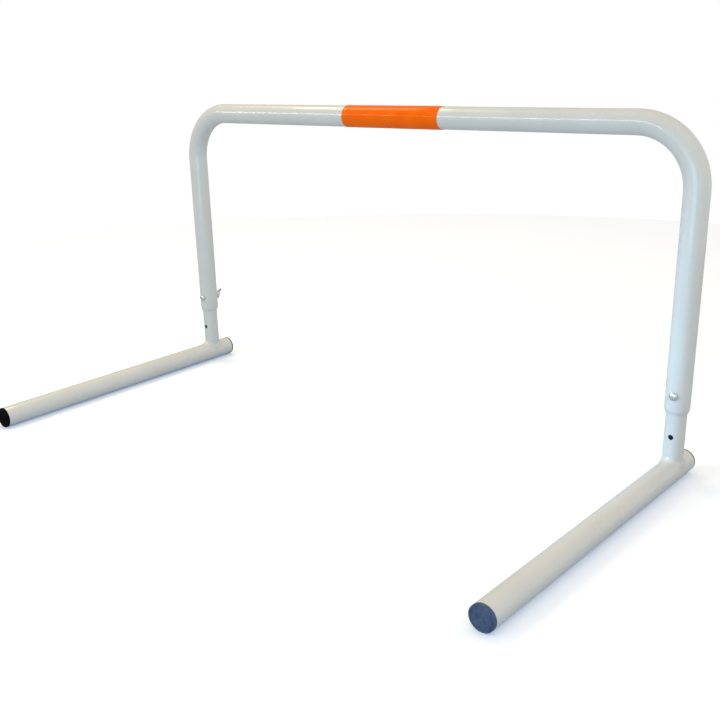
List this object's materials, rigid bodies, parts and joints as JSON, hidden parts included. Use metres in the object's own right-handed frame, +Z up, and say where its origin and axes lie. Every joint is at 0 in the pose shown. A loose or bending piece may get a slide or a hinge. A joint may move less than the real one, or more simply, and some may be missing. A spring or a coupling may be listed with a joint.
{
  "type": "height-adjustable training hurdle",
  "caption": "Low hurdle of bent white steel tube: a hoop with an orange band on its bar slides on two stubs welded to long round feet, and bolts with wing nuts set its height.",
  "frame": {"origin": "on the floor, under the middle of the whole object's box", "axes": "+X along the bar to the right as seen from the front, +Y to the back where the legs stand, +Z up; the long ends of the feet point to -Y"},
  "size_m": [1.1818, 0.6156, 0.5957],
  "materials": {
    "white_powder_coat": "glossy white powder coat with fine orange peel",
    "orange_sleeve": "glossy orange sleeve",
    "black_plastic": "satin moulded plastic",
    "guide_plastic": "natural moulded plastic",
    "zinc_plate": "bright zinc plate"
  },
  "bodies": {
    "left_foot": {"left_foot_tube": "white_powder_coat", "left_leg_stub": "white_powder_coat", "left_weld_bead": "white_powder_coat", "left_front_end_cap": "black_plastic", "left_back_end_cap": "black_plastic", "left_stub_bush": "guide_plastic"},
    "right_foot": {"right_foot_tube": "white_powder_coat", "right_leg_stub": "white_powder_coat", "right_weld_bead": "white_powder_coat", "right_front_end_cap": "black_plastic", "right_back_end_cap": "black_plastic", "right_stub_bush": "guide_plastic"},
    "hoop": {"hoop_tube": "white_powder_coat", "orange_band": "orange_sleeve"},
    "left_bolt": {"left_bolt_head_end": "zinc_plate", "left_bolt_thread_end": "zinc_plate"},
    "left_washer_body": {"left_washer": "zinc_plate"},
    "left_nut": {"left_wing_nut": "zinc_plate"},
    "right_bolt": {"right_bolt_head_end": "zinc_plate", "right_bolt_thread_end": "zinc_plate"},
    "right_washer_body": {"right_washer": "zinc_plate"},
    "right_nut": {"right_wing_nut": "zinc_plate"}
  },
  "joints": [
    {"name": "hoop_height", "type": "slide", "parent": "left_foot", "child": "hoop", "axis": [0, 0, 1], "range_m": [-0.072, 0.144]},
    {"name": "right_leg_height", "type": "slide", "parent": "hoop", "child": "right_foot", "axis": [0, 0, 1], "range_m": [-0.144, 0.072]},
    {"name": "left_bolt_pull", "type": "slide", "parent": "hoop", "child": "left_bolt", "axis": [0, -1, 0], "range_m": [0, 0.06]},
    {"name": "left_nut_travel", "type": "slide", "parent": "hoop", "child": "left_washer_body", "axis": [0, 1, 0], "range_m": [0, 0.01125]},
    {"name": "left_nut_spin", "type": "hinge", "parent": "left_washer_body", "child": "left_nut", "pos_m": [-0.57, 0.2595, 0.154], "axis": [0, 1, 0], "range_deg": [0, 3240]},
    {"name": "right_bolt_pull", "type": "slide", "parent": "hoop", "child": "right_bolt", "axis": [0, -1, 0], "range_m": [0, 0.06]},
    {"name": "right_nut_travel", "type": "slide", "parent": "hoop", "child": "right_washer_body", "axis": [0, 1, 0], "range_m": [0, 0.01125]},
    {"name": "right_nut_spin", "type": "hinge", "parent": "right_washer_body", "child": "right_nut", "pos_m": [0.57, 0.2595, 0.154], "axis": [0, 1, 0], "range_deg": [0, 3240]}
  ],
  "couplings": [
    {"joint": "right_leg_height", "follows": "hoop_height", "ratio": -1},
    {"joint": "left_nut_spin", "follows": "left_nut_travel", "rad_per_m": 5026.5},
    {"joint": "right_nut_spin", "follows": "right_nut_travel", "rad_per_m": 5026.5}
  ]
}
